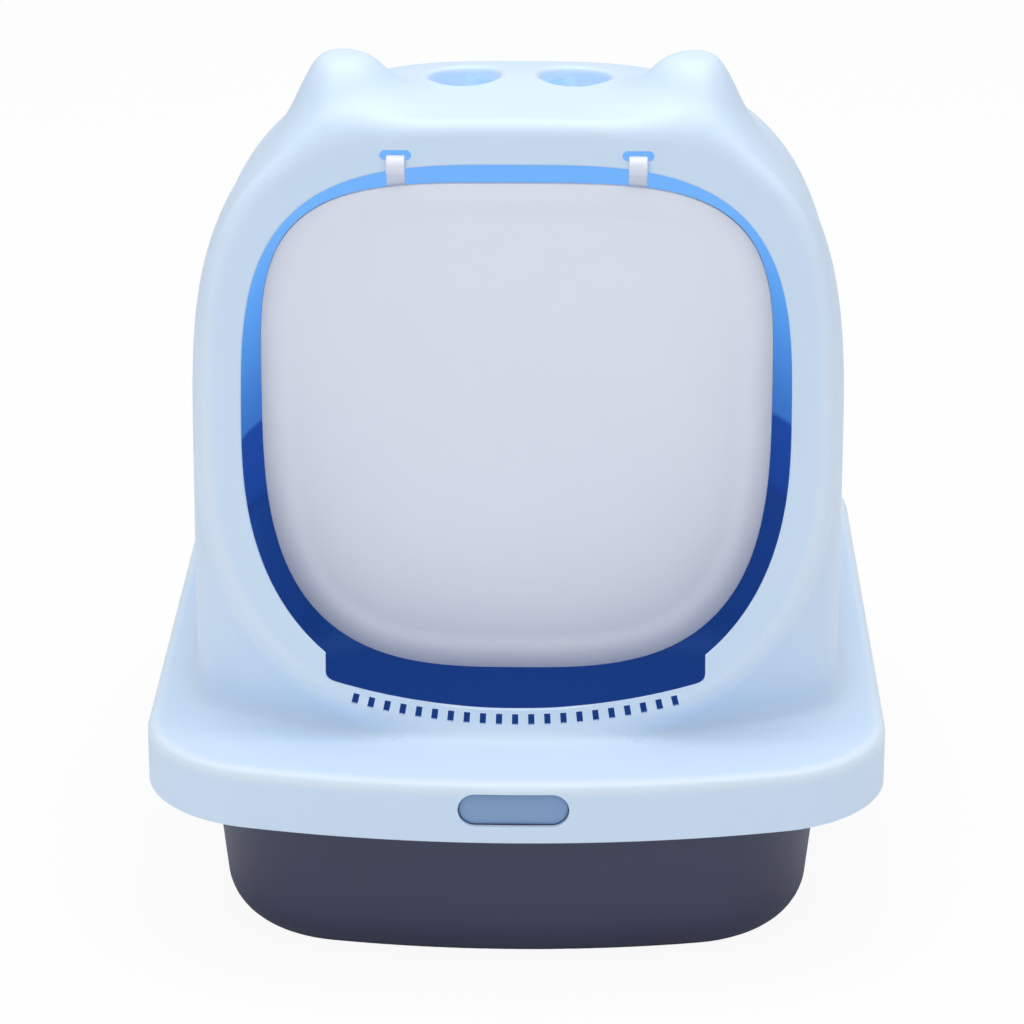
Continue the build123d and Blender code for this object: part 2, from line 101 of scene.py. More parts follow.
# depth behind the flap's front and growth of its outline, from the recessed panel round to the back
FLAP_PROFILE = [
    (1.3, -19.5), (1.24, -18), (1.0, -16), (0.65, -14), (0.3, -12), (0.06, -10), (0, -8.5),
    (0, -0.8), (0.22, -0.25), (0.8, 0), (2.3, 0), (2.8, -0.3), (3, -0.9),
]
HOOK_AXIS = (-148.51, 425.5)
HOOK_RADII = (3.095, 5.095)
HOOK_LEG = 22
HOOK_HALF = 4.75
BUTTON_CAP = (57.8, 17.7)
# place on Y and growth of the button's outline, from its back to its crowned face
BUTTON_PROFILE = [
    (-245, 0), (-246.4, 0), (-246.9, -0.25), (-247.3, -0.9),
    (-247.6, -2), (-247.85, -4), (-248, -7.6),
]
BOSS = (40, -238)
BOSS_LEVELS = (109.5, 117.75)
BOSS_RADIUS = 3.2
SCREW_HOLE = 1.3
SCREW_DEPTH = 115
EDGE_ROUND = 0.3

# Painted blue glow inside the room: faces that look towards this height, in front of the hinge knuckles
PAN_MIDDLE = 120
KNUCKLES_FROM = 243
GLOW_FROM = (-125, -60)

# How softly the hood's forms run into each other
FOOT_BLEND = 18
EAR_BLEND = 18
RIDGE_BLEND = 8
EDGE_BLEND = 5
CUP_BLEND = 4
BACK_BLEND = 2

# How finely the hood is worked out
GRID_STEP = 2.5
ROOM_STEP = 5
SLOPE_STEP = 0.02
LEAST_SLOPE = 0.3
TINY = 1e-9
BELOW = 10
THROUGH = 12
ON_SKIN = 0.3
FACES_ALONG = 0.8

# Painted highlight on outward bends, up to this share of the pale colour and fading out between two heights
HIGHLIGHT_FULL_BEND = 0.12
HIGHLIGHT_SHARE = 0.45
BEND_STEPS = (3, 5.5)
HIGHLIGHT_FADE = (300, 462)
# Strength of the painted glow in the finger cup
CUP_GLOW = 0.2

# Camera: the photograph's viewing angle
CAMERA_PLACE = (0.0325, -2.1528, 0.987)
CAMERA_PITCH = 20.6
CAMERA_YAW = 1.0
FOCAL_PIXELS = 4000
IMAGE_PIXELS = 1024
SENSOR = 36

# Studio, in metres
SKY = (0.9, 0.95, 1.0, 1)
SKY_STRENGTH = 0.46
FLOOR_REACH = 6.0
FLOOR_COLOUR = (0.93, 0.93, 0.94, 1)
FLOOR_WHITE = 0.93
KEY_LAMP = {
    "place": (0.1, -0.1, 2.8),
    "target": (0, 0, 0.2),
    "size": 3.2,
    "watts": 68,
    "tint": (1.0, 0.99, 0.97),
}
FILL_LAMP = {
    "place": (-1.7, -3.0, 1.2),
    "target": (0, 0, 0.25),
    "size": 1.6,
    "watts": 9,
    "tint": (0.88, 0.94, 1.0),
}


def srgb(r, g, b):
    """A colour given as sRGB values from 0 to 255, as the linear colour that the shader takes."""
    linear = [(c / 255) / 12.92 if c <= 10 else ((c / 255 + 0.055) / 1.055) ** 2.4 for c in (r, g, b)]
    return (*linear, 1.0)


def plastic(name, light, dark, roughness, blotch=9.0, grain=900.0, bump=0.02, **more):
    """Moulded plastic: slow colour drift, fine grain in the bump and a little unevenness in the gloss."""
    material = bpy.data.materials.new(name)
    material.use_nodes = True
    tree = material.node_tree
    shader = tree.nodes["Principled BSDF"]
    link = tree.links.new
    place = tree.nodes.new("ShaderNodeTexCoord")

    drift = tree.nodes.new("ShaderNodeTexNoise")
    drift.inputs["Scale"].default_value = blotch
    drift.inputs["Detail"].default_value = 3
    link(place.outputs["Object"], drift.inputs["Vector"])
    tint = tree.nodes.new("ShaderNodeMix")
    tint.data_type = "RGBA"
    tint.inputs["A"].default_value = dark
    tint.inputs["B"].default_value = light
    link(drift.outputs["Fac"], tint.inputs["Factor"])
    link(tint.outputs["Result"], shader.inputs["Base Color"])

    fine = tree.nodes.new("ShaderNodeTexNoise")
    fine.inputs["Scale"].default_value = grain
    fine.inputs["Detail"].default_value = 2
    link(place.outputs["Object"], fine.inputs["Vector"])
    relief = tree.nodes.new("ShaderNodeBump")
    relief.inputs["Strength"].default_value = bump
    relief.inputs["Distance"].default_value = 0.0004
    link(fine.outputs["Fac"], relief.inputs["Height"])
    link(relief.outputs["Normal"], shader.inputs["Normal"])

    gloss = tree.nodes.new("ShaderNodeMapRange")
    gloss.inputs["To Min"].default_value = roughness - 0.04
    gloss.inputs["To Max"].default_value = roughness + 0.04
    link(drift.outputs["Fac"], gloss.inputs["Value"])
    link(gloss.outputs["Result"], shader.inputs["Roughness"])
    for socket, value in more.items():
        shader.inputs[socket.replace("_", " ")].default_value = value
    return material


def dress(node, material):
    """Gives a CAD node its material."""
    mesh = nodes[node].data
    mesh.materials.clear()
    mesh.materials.append(material)


def paint_edge_highlight(material, colour):
    """Painted highlight: paler colour on the outward bends."""
    tree = material.node_tree
    shader = tree.nodes["Principled BSDF"]
    link = tree.links.new
    tint = shader.inputs["Base Color"].links[0].from_socket
    bend = tree.nodes.new("ShaderNodeAttribute")
    bend.attribute_name = "bend"
    mix = tree.nodes.new("ShaderNodeMix")
    mix.data_type = "RGBA"
    mix.inputs["B"].default_value = colour
    link(bend.outputs["Fac"], mix.inputs["Factor"])
    link(tint, mix.inputs["A"])
    link(mix.outputs["Result"], shader.inputs["Base Color"])


def paint_cup_glow(material, colour):
    """Painted glow in the finger cup, in place of light through its thin walls, stronger deeper in."""
    tree = material.node_tree
    shader = tree.nodes["Principled BSDF"]
    deep = tree.nodes.new("ShaderNodeAttribute")
    deep.attribute_name = "cup"
    strength = tree.nodes.new("ShaderNodeMath")
    strength.operation = "MULTIPLY"
    strength.inputs[1].default_value = CUP_GLOW
    shader.inputs["Emission Color"].default_value = colour
    tree.links.new(deep.outputs["Fac"], strength.inputs[0])
    tree.links.new(strength.outputs["Value"], shader.inputs["Emission Strength"])


def glow(material, levels, inner=False):
    """Painted blue glow in place of light through the thin hood: (height in mm, colour) from low to high.
    """
    tree = material.node_tree
    shader = tree.nodes["Principled BSDF"]
    link = tree.links.new
    place = tree.nodes.new("ShaderNodeTexCoord")
    parts = tree.nodes.new("ShaderNodeSeparateXYZ")
    link(place.outputs["Object"], parts.inputs["Vector"])
    low, high = levels[0][0] * MM, levels[-1][0] * MM
    share = tree.nodes.new("ShaderNodeMapRange")
    share.inputs["From Min"].default_value = low
    share.inputs["From Max"].default_value = high
    link(parts.outputs["Z"], share.inputs["Value"])
    ramp = tree.nodes.new("ShaderNodeValToRGB")
    stops = ramp.color_ramp.elements
    stops.remove(stops[1])
    stops[0].color = levels[0][1]
    for height, colour in levels[1:]:
        stops.new((height * MM - low) / (high - low)).color = colour
    link(share.outputs["Result"], ramp.inputs["Fac"])
    link(ramp.outputs["Color"], shader.inputs["Emission Color"])
    if not inner:
        # none near the entrance
        depth = tree.nodes.new("ShaderNodeMapRange")
        depth.inputs["From Min"].default_value = GLOW_FROM[0] * MM
        depth.inputs["From Max"].default_value = GLOW_FROM[1] * MM
        link(parts.outputs["Y"], depth.inputs["Value"])
        link(depth.outputs["Result"], shader.inputs["Emission Strength"])
        return
    # only faces that look towards the middle of the room, and not the hinge knuckles
    form = tree.nodes.new("ShaderNodeNewGeometry")
    away = tree.nodes.new("ShaderNodeVectorMath")
    away.operation = "SUBTRACT"
    away.inputs[1].default_value = (0, 0, PAN_MIDDLE * MM)
    link(form.outputs["Position"], away.inputs[0])
    facing = tree.nodes.new("ShaderNodeVectorMath")
    facing.operation = "DOT_PRODUCT"
    link(away.outputs["Vector"], facing.inputs[0])
    link(form.outputs["Normal"], facing.inputs[1])
    inside = tree.nodes.new("ShaderNodeMath")
    inside.operation = "LESS_THAN"
    inside.inputs[1].default_value = 0
    link(facing.outputs["Value"], inside.inputs[0])
    before = tree.nodes.new("ShaderNodeMath")
    before.operation = "LESS_THAN"
    before.inputs[1].default_value = KNUCKLES_FROM * MM
    link(parts.outputs["Y"], before.inputs[0])
    both = tree.nodes.new("ShaderNodeMath")
    both.operation = "MULTIPLY"
    link(inside.outputs["Value"], both.inputs[0])
    link(before.outputs["Value"], both.inputs[1])
    link(both.outputs["Value"], shader.inputs["Emission Strength"])


hood_plastic = plastic("hood_plastic", srgb(218, 236, 254), srgb(211, 230, 252), 0.42)
pan_plastic = plastic("pan_plastic", srgb(60, 63, 92), srgb(53, 56, 83), 0.4)
# Painted shade: the hood's inside faces get a darker blue copy of its plastic
room_shade_and_glow = plastic("room_shade_and_glow", srgb(70, 104, 150), srgb(64, 97, 142), 0.5)
flap_plastic = plastic("flap_plastic", srgb(243, 245, 255), srgb(236, 239, 251), 0.45)
button_plastic = plastic("button_plastic", srgb(136, 166, 206), srgb(128, 158, 198), 0.3)
latch_plastic = plastic("latch_plastic", srgb(196, 208, 222), srgb(186, 198, 213), 0.45)
pin_plastic = plastic("pin_plastic", srgb(190, 208, 226), srgb(182, 200, 219), 0.45)
# Painted highlight: paler colour on the hood's outward bends
paint_edge_highlight(hood_plastic, srgb(240, 248, 255))
# Painted glow in the finger cup
paint_cup_glow(hood_plastic, srgb(150, 205, 255))
# Painted glow in the room, dimmer below 172 mm and brighter upwards, none near the entrance
glow(room_shade_and_glow, [
    (110, srgb(24, 50, 112)),
    (172, srgb(26, 56, 122)),
    (175, srgb(56, 104, 168)),
    (195, srgb(62, 115, 178)),
    (235, srgb(82, 142, 206)),
    (300, srgb(114, 174, 232)),
])
# Painted deep blue glow on the pan's inward faces
glow(pan_plastic, [(0, srgb(18, 48, 108)), (118, srgb(22, 54, 118))], inner=True)
steel = plastic("steel", srgb(200, 200, 204), srgb(178, 178, 184), 0.32, grain=300, Metallic=1.0)

dress("pan", pan_plastic)
dress("latch_slider", latch_plastic)
dress("latch_guide", latch_plastic)
for side in ("left", "right"):
    dress(f"hinge_pin_{side}", pin_plastic)
    dress(f"guide_screw_{side}", steel)
    dress(f"latch_spring_{side}", steel)


def smooth_min(a, b, blend):
    """The smaller of two distances, rounded where they meet."""
    share = np.maximum(blend - np.abs(a - b), 0) / blend
    return np.minimum(a, b) - share**2 * blend / 4


def smooth_max(a, b, blend):
    """The larger of two distances, rounded where they meet."""
    return -smooth_min(-a, -b, blend)


def bulge(share, power):
    """How much of a rounded end's full size is left at a share of its length."""
    return (1 - np.minimum(share, 0.9999) ** power) ** (1 / power)


def ease(t):
    """A smooth rise from 0 to 1."""
    t = np.clip(t, 0, 1)
    return t**3 * (10 - 15 * t + 6 * t**2)


def body_slices(x, y, z):
    """Below zero inside the hood body, whose upright oval slices lean with the ring in front."""
    ahead = (z - RING_FOOT_Z) * math.tan(LEAN)
    share = np.clip((y - RING_FOOT_Y - ahead) / (BODY_FLARE - ahead), 0, 1)
    back = np.clip((y - BODY_ROUND) / (BODY_BACK - BODY_ROUND), 0, 1)
    fall = np.clip((y - ROOF_START) / (BODY_BACK - ROOF_START), 0, 1)
    width = (RING_HALF + (BODY_HALF - RING_HALF) * (1 - (1 - share) ** 2)) * bulge(back, PLAN_POWER)
    middle = RING_MIDDLE + (BODY_MIDDLE - RING_MIDDLE) * share
    high = (RING_TOP + (BODY_TOP - RING_TOP) * share - middle) * bulge(fall, PROFILE_POWER)
    foot = RING_FOOT_Z + RING_RISE
    low = middle - foot + (foot - SKIRT) * (1 - np.maximum(0, 1 - share / SKIRT_AT) ** 2)
    above = z > middle
    reach = np.where(above, high, low)
    upper = UPPER_POWER[0] + (UPPER_POWER[1] - UPPER_POWER[0]) * share
    lower = LOWER_POWER[0] + (LOWER_POWER[1] - LOWER_POWER[0]) * ease(share / LOWER_SQUARE_AT)
    power = np.where(above, upper, lower)
    ratio = ((x / width) ** power + (np.abs(z - middle) / reach) ** power) ** (1 / power) + TINY
    return np.hypot(x, z - middle) * (1 - 1 / ratio)


def gradient(level, x, y, z):
    """A level function's value and slopes at points."""
    value = level(x, y, z)
    moved = [level(x + SLOPE_STEP, y, z), level(x, y + SLOPE_STEP, z), level(x, y, z + SLOPE_STEP)]
    return value, np.stack([there - value for there in moved], -1) / SLOPE_STEP


def body(x, y, z):
    """Distance to the hood body, close to the surface."""
    # the slices shrink to nothing at the back, so the distance there goes on from the last sound one
    sound = np.minimum(y, BODY_BACK - LAST_SLICE)
    value, slope = gradient(body_slices, x, sound, z)
    distance = value / np.maximum(np.linalg.norm(slope, axis=-1), LEAST_SLOPE) + (y - sound)
    return smooth_max(distance, y - BODY_BACK, BACK_BLEND)


def ears(x, y, z):
    """Distance to an ear: a rounded tip, steep outside, gentle towards the roof."""
    across = (x - EAR_X) / np.where(x > EAR_X, 1, EAR_INWARD)
    along = (y - EAR_Y) / np.where(y < EAR_Y, EAR_FORWARD, EAR_BACKWARD)
    reach = np.hypot(across, along)
    radius = (reach - EAR_TIP) / EAR_TURN
    drop = EAR_SLOPE * EAR_TURN * (np.logaddexp(0, radius) - math.log1p(math.exp(-EAR_TIP / EAR_TURN)))
    slope = EAR_SLOPE / (1 + np.exp(-np.clip(radius, -50, 50)))
    return smooth_max((z - EAR_TOP + drop) / np.hypot(1, slope), reach - EAR_REACH, EAR_BLEND)


def lip_plan(x, y):
    """Distance to the flange's outline, seen from above."""
    bow_y = LIP_BOW - LIP_REACH
    bow = np.hypot(x, y - bow_y) - LIP_BOW
    corner_x = LIP_HALF - LIP_FRONT_CORNER
    corner_y = bow_y - math.sqrt((LIP_BOW - LIP_FRONT_CORNER) ** 2 - corner_x**2)
    side = x - LIP_HALF
    corner = np.hypot(x - corner_x, y - corner_y) - LIP_FRONT_CORNER
    in_corner = (y < corner_y) & (x * (bow_y - corner_y) > corner_x * (bow_y - y))
    front = np.where(in_corner, corner, np.where(y < corner_y, bow, side))
    back_x = x - (LIP_HALF - LIP_BACK_CORNER)
    back_y = y - (LIP_REACH - LIP_BACK_CORNER)
    back = np.hypot(np.maximum(back_x, 0), np.maximum(back_y, 0)) - LIP_BACK_CORNER
    back += np.minimum(np.maximum(back_x, back_y), 0)
    return np.where(y < 0, front, back)


def hood_skin(x, y, z, barred=True):
    """Distance to the hood's outside, whose finger cup has a bar across it, or is open where not barred."""
    x = np.abs(x)
    ring = (RING_FOOT_Y - y) * math.cos(LEAN) + (z - RING_FOOT_Z) * math.sin(LEAN)
    form = smooth_max(smooth_min(body(x, y, z), ears(x, y, z), EAR_BLEND), ring, RIDGE_BLEND)
    form = smooth_min(form, smooth_max(lip_plan(x, y), z - DECK_TOP, EDGE_BLEND), FOOT_BLEND)
    cup = np.hypot(np.maximum(x - CUP_HALF + CUP_RADIUS, 0), y - CUP_Y) - CUP_RADIUS
    if barred:
        across, along = (x - HOLE_X) / HOLE_HALF, (y - CUP_Y) / CUP_RADIUS
        reach = np.hypot(across, along) + TINY
        hole = reach * (reach - 1) / (np.hypot(across / HOLE_HALF, along / CUP_RADIUS) + TINY)
        cup = np.minimum(hole, smooth_max(cup, z - BAR_LOW, CUP_BLEND))
    cup = smooth_max(cup, CUP_FLOOR - z, 2 * CUP_BLEND)
    return smooth_max(form, -cup, CUP_BLEND)


def hood_inside(x, y, z):
    """Distance to the hood's inside, one wall within its skin."""
    return hood_skin(x, y, z, barred=False) + WALL


def level_grid(level, low, high, step, block=4, near=26):
    """Values of a mirrored level function on a grid, worked out finely only near its zero."""
    steps = [int(round((high[i] - low[i]) / step / block)) * block for i in range(3)]
    axes = [low[i] + step * np.arange(steps[i]) for i in range(3)]
    middles = [low[i] + step * (block * np.arange(steps[i] // block) + (block - 1) / 2) for i in range(3)]
    rough = level(*np.meshgrid(*middles, indexing="ij"))
    values = rough
    for axis in range(3):
        values = np.repeat(values, block, axis=axis)
    close = np.repeat(np.repeat(np.repeat(np.abs(rough) < near, block, 0), block, 1), block, 2)
    i, j, k = np.nonzero(close)
    values[i, j, k] = level(axes[0][i], axes[1][j], axes[2][k])
    return np.concatenate([values[:0:-1], values]), (-axes[0][-1], low[1], low[2])


def surface_net(values, origin, step):
    """A closed net of quads round the zero of a grid, with one point in each cell that it crosses."""
    inside = values < 0
    n = np.array(values.shape) - 1
    corners = [(i, j, k) for i in (0, 1) for j in (0, 1) for k in (0, 1)]
    count = sum(inside[i:n[0] + i, j:n[1] + j, k:n[2] + k].astype(np.int8) for i, j, k in corners)
    crossed = (count > 0) & (count < 8)
    cells = np.argwhere(crossed)
    number = np.full(crossed.shape, -1)
    number[crossed] = np.arange(len(cells))
    total = np.zeros((len(cells), 3))
    hits = np.zeros(len(cells))
    quads = []
    for axis in range(3):
        along = np.eye(3, dtype=int)[axis]
        u, v = np.eye(3, dtype=int)[(axis + 1) % 3], np.eye(3, dtype=int)[(axis + 2) % 3]
        for shift in (0 * u, u, v, u + v):
            start = cells + shift
            a, b = values[tuple(start.T)], values[tuple((start + along).T)]
            cut = (a < 0) != (b < 0)
            share = np.where(cut, a / np.where(cut, a - b, 1), 0)
            total += np.where(cut[:, None], shift + share[:, None] * along, 0)
            hits += cut
        start = [slice(0, -1) if i == axis else slice(1, -1) for i in range(3)]
        stop = [slice(1, None) if i == axis else slice(1, -1) for i in range(3)]
        first, last = inside[tuple(start)], inside[tuple(stop)]
        place = np.argwhere(first != last) + 1 - along
        quad = np.stack([number[tuple((place - s).T)] for s in (0 * u, u, u + v, v)], -1)
        outward = inside[tuple(place.T)]
        quads.append(np.where(outward[:, None], quad, quad[:, ::-1]))
    return np.array(origin) + step * (cells + total / hits[:, None]), np.concatenate(quads)


def settle(points, level, fixed_below, rounds=4):
    """Moves points on to the zero of a level function, apart from those on the net's flat bottom."""
    free = points[:, 2] > fixed_below
    for _ in range(rounds):
        value, slope = gradient(level, *points[free].T)
        move = slope * (value / np.maximum((slope**2).sum(1), 0.05))[:, None]
        points[free] -= np.clip(move, -GRID_STEP, GRID_STEP)
    return points


def mesh_object(name, points, faces):
    """An object made from points in millimetres."""
    mesh = bpy.data.meshes.new(name)
    mesh.from_pydata((np.asarray(points) * MM).tolist(), [], [list(map(int, face)) for face in faces])
    mesh.validate()
    obj = bpy.data.objects.new(name, mesh)
    bpy.context.scene.collection.objects.link(obj)
    return obj


def net_object(name, level, low, step):
    """A closed body of a level function, flat at the bottom."""

    def bounded(x, y, z):
        return np.maximum(level(x, y, z), low - z)

    corner = (0, -LIP_REACH - 3 * step, low - 3 * step)
    values, origin = level_grid(bounded, corner, (LIP_HALF + 20, LIP_REACH + 20, EAR_TOP + 20), step)
    points, quads = surface_net(values, origin, step)
    return mesh_object(name, settle(points, level, low + 1.5 * step), quads)


def cut(target, tool, operation="DIFFERENCE"):
    """Applies a boolean of two closed meshes to the first and removes the second."""
    modifier = target.modifiers.new("cut", "BOOLEAN")
    modifier.operation = operation
    modifier.solver = "MANIFOLD"
    modifier.object = tool
    graph = bpy.context.evaluated_depsgraph_get()
    result = bpy.data.meshes.new_from_object(target.evaluated_get(graph))
    target.modifiers.clear()
    old = target.data
    result.name = old.name
    target.data = result
    bpy.data.meshes.remove(old)
    bpy.data.objects.remove(tool)


def prism(name, outline, place, depths, growth=None):
    """A closed prism whose outline is drawn by place(u, v, depth) at each depth, larger by its growth."""
    outline = np.array(outline)
    ahead = np.roll(outline, -1, 0) - np.roll(outline, 1, 0)
    normals = np.stack([ahead[:, 1], -ahead[:, 0]], -1) / np.linalg.norm(ahead, axis=1)[:, None]
    count = len(outline)
    points, faces = [], []
    for level, depth in enumerate(depths):
        ring = outline + normals * (growth[level] if growth else 0)
        points += [place(u, v, depth) for u, v in ring]
    for level in range(len(depths) - 1):
        base = level * count
        faces += [
            (base + i, base + (i + 1) % count, base + count + (i + 1) % count, base + count + i)
            for i in range(count)
        ]
    faces.append(list(range(count))[::-1])
    faces.append([(len(depths) - 1) * count + i for i in range(count)])
    obj = mesh_object(name, points, faces)
    work = bmesh.new()
    work.from_mesh(obj.data)
    bmesh.ops.recalc_face_normals(work, faces=work.faces)
    work.to_mesh(obj.data)
    work.free()
    return obj


def upright(u, v, depth):
    """A point given in plan, and by its height."""
    return (u, v, depth)


def facing_front(u, v, depth):
    """A point given across and up, and by its place on Y."""
    return (u, depth, v)


def facing_side(u, v, depth):
    """A point given along Y and up, and by its place on X."""
    return (depth, u, v)


def on_ring(u, v, depth):
    """A point given across and up the ring's plane, and behind it."""
    y = RING_FOOT_Y + v * math.sin(LEAN) + depth * math.cos(LEAN)
    return (u, y, RING_FOOT_Z + v * math.cos(LEAN) - depth * math.sin(LEAN))


def oval(half_width, low, high, middle, low_power, high_power, count=256):
    """Points round an oval whose lower and upper halves have their own squareness."""
    points = []
    for i in range(count):
        c, s = math.cos(2 * math.pi * i / count), math.sin(2 * math.pi * i / count)
        power, reach = (high_power, high - middle) if s > 0 else (low_power, middle - low)
        radius = (abs(c) ** power + abs(s) ** power) ** (-1 / power)
        points.append((half_width * radius * c, middle + reach * radius * s))
    return points


def stadium(length, height, middle=(0, 0), count=24):
    """Points round a slot with round ends."""
    radius = height / 2
    points = []
    for side in (1, -1):
        for i in range(count + 1):
            angle = math.pi * (i / count - 0.5) + (0 if side > 0 else math.pi)
            x = side * (length / 2 - radius) + radius * math.cos(angle)
            points.append((middle[0] + x, middle[1] + radius * math.sin(angle)))
    return points


def box_outline(low_u, low_v, high_u, high_v):
    """The corners of a rectangle."""
    return [(low_u, low_v), (high_u, low_v), (high_u, high_v), (low_u, high_v)]


# A cutter starts wide in front of the ring and narrows over a small round edge
EDGE_DEPTHS = (-THROUGH, -1, 0, 0.15, 0.45, 0.9, THROUGH)
EDGE_GROWTH = (1.4, 1.4, 1.0, 0.62, 0.3, 0, 0)
# half width, lowest and highest point, middle, and squareness below and above the middle
OPENING = (144.7, 18, 308.8, 171, 2.45, 3.3)
NOTCH_HALF = 101
NOTCH_RADIUS = 335
NOTCH_TOP = 60
NOTCH_CORNER = 4
SILL_SLOTS = 21
SILL_PITCH = 8.6
SILL_SLOT = (3.3, 6)
SILL_EDGE = 2.7
STRIP_V = 308.5
STRIP_HEIGHT = 5
HOOK_X = 63
HOOK_SLOT = (16.5, 5.3)
HOOK_RELIEF = (11.5, 6)
BUTTON_Z = 104.5
BUTTON_SLOT = (58.6, 18.5)


def bend(start, corner, stop, count=6):
    """Points on a rounded corner."""
    start, corner, stop = np.array(start), np.array(corner), np.array(stop)
    shares = np.linspace(0, 1, count)[:, None]
    points = (1 - shares) ** 2 * start + 2 * shares * (1 - shares) * corner + shares**2 * stop
    return [tuple(point) for point in points[1:]]


def cut_ring(shell):
    """Cuts the opening, its notch, the sill's slots and the hooks' slots through the ring."""
    cut(shell, prism("opening", oval(*OPENING), on_ring, EDGE_DEPTHS, EDGE_GROWTH))
    spread = math.asin(NOTCH_HALF / NOTCH_RADIUS)
    centre_v = OPENING[1] + NOTCH_RADIUS
    sag = []
    for i in range(41):
        angle = -math.pi / 2 + spread * (i / 20 - 1)
        sag.append((NOTCH_RADIUS * math.cos(angle), centre_v + NOTCH_RADIUS * math.sin(angle)))
    low_arc = [point for point in sag if abs(point[0]) < NOTCH_HALF - NOTCH_CORNER]
    corner = bend(low_arc[-1], (NOTCH_HALF, sag[-1][1]), (NOTCH_HALF, sag[-1][1] + NOTCH_CORNER))
    mirrored = [(-u, v) for u, v in corner[::-1]]
    notch = mirrored + low_arc + corner + [(NOTCH_HALF, NOTCH_TOP), (-NOTCH_HALF, NOTCH_TOP)]
    cut(shell, prism("notch", notch, on_ring, (-THROUGH, THROUGH)))
    slot_radius = NOTCH_RADIUS + SILL_EDGE + SILL_SLOT[1] / 2
    for i in range(SILL_SLOTS):
        angle = SILL_PITCH * (i - (SILL_SLOTS - 1) / 2) / slot_radius

        def place(u, v, depth):
            out = slot_radius - v
            across = out * math.sin(angle) + u * math.cos(angle)
            up = centre_v - out * math.cos(angle) + u * math.sin(angle)
            return on_ring(across, up, depth)

        half = SILL_SLOT[0] / 2
        outline = box_outline(-half, -SILL_SLOT[1] / 2, half, SILL_SLOT[1] / 2)
        cut(shell, prism("sill_slot", outline, place, (-THROUGH, THROUGH)))
    for side in (-1, 1):
        middle = (side * HOOK_X, STRIP_V + (STRIP_HEIGHT + HOOK_SLOT[1]) / 2)
        cut(shell, prism("hook_slot", stadium(*HOOK_SLOT, middle), on_ring, (-THROUGH, THROUGH)))
        top = STRIP_V - STRIP_HEIGHT / 2
        half = HOOK_RELIEF[0] / 2
        outline = box_outline(side * HOOK_X - half, top - HOOK_RELIEF[1], side * HOOK_X + half, top)
        cut(shell, prism("hook_relief", outline, on_ring, (-THROUGH, THROUGH)))


def edge_highlight_share(points):
    """Share of painted highlight at points, from how sharply the hood's outside bends outwards, from 0,
    fading out towards the ears.
    """
    middle = hood_skin(*points.T)
    total = 0
    for step in BEND_STEPS:
        for axis in range(3):
            for side in (-step, step):
                moved = points.copy()
                moved[:, axis] += side
                total = total + (hood_skin(*moved.T) - middle) / step**2
    low, high = HIGHLIGHT_FADE
    fade = np.clip((high - points[:, 2]) / (high - low), 0, 1)
    return np.clip(total / len(BEND_STEPS) / HIGHLIGHT_FULL_BEND, 0, 1) * HIGHLIGHT_SHARE * fade


def cup_share(points):
    """How deep points lie in the finger cup, from 0 at its rim to 1 on its floor."""
    x, y, z = np.abs(points[:, 0]), points[:, 1], points[:, 2]
    across = np.hypot(np.maximum(x - CUP_HALF + CUP_RADIUS, 0), y - CUP_Y) < CUP_RADIUS + 1
    deep = np.clip((BAR_LOW + 8 - z) / (BAR_LOW + 4 - CUP_FLOOR), 0, 1)
    return np.where(across & (z > CUP_FLOOR - 0.5), deep, 0)


def true_normals(shell):
    """Gives the skin the normals of its smooth form and the room its material; cut faces stay flat."""
    mesh = shell.data
    count = len(mesh.vertices)
    points = np.empty(count * 3)
    mesh.vertices.foreach_get("co", points)
    points = points.reshape(-1, 3) / MM
    face_normals = np.empty(len(mesh.polygons) * 3)
    mesh.polygons.foreach_get("normal", face_normals)
    face_normals = face_normals.reshape(-1, 3)
    sizes = np.empty(len(mesh.polygons), int)
    mesh.polygons.foreach_get("loop_total", sizes)
    loop_face = np.repeat(np.arange(len(sizes)), sizes)
    loop_vertex = np.empty(len(mesh.loops), int)
    mesh.loops.foreach_get("vertex_index", loop_vertex)
    # Masks for the painted edge highlight and the painted glow in the finger cup
    for name, share in (("bend", edge_highlight_share(points)), ("cup", cup_share(points))):
        mesh.attributes.new(name, "FLOAT", "POINT").data.foreach_set("value", share)
    value, slope = gradient(hood_skin, *points.T)
    slope /= np.maximum(np.linalg.norm(slope, axis=1), 1e-6)[:, None]
    room_value, room_slope = gradient(hood_inside, *points.T)
    room_slope /= -np.maximum(np.linalg.norm(room_slope, axis=1), 1e-6)[:, None]
    flat = face_normals[loop_face]
    normals = flat.copy()
    for level, normal in ((value, slope), (room_value, room_slope)):
        agrees = (normal[loop_vertex] * flat).sum(1) > FACES_ALONG
        use = agrees & (np.abs(level[loop_vertex]) < ON_SKIN)
        normals[use] = normal[loop_vertex][use]
    mesh.polygons.foreach_set("use_smooth", np.ones(len(sizes), bool))
    mesh.normals_split_custom_set(normals.tolist())
    inner = (np.abs(room_value) < ON_SKIN)[loop_vertex]
    inside_share = np.bincount(loop_face, inner) / sizes
    mesh.polygons.foreach_set("material_index", (inside_share > 0.99).astype(np.int32))


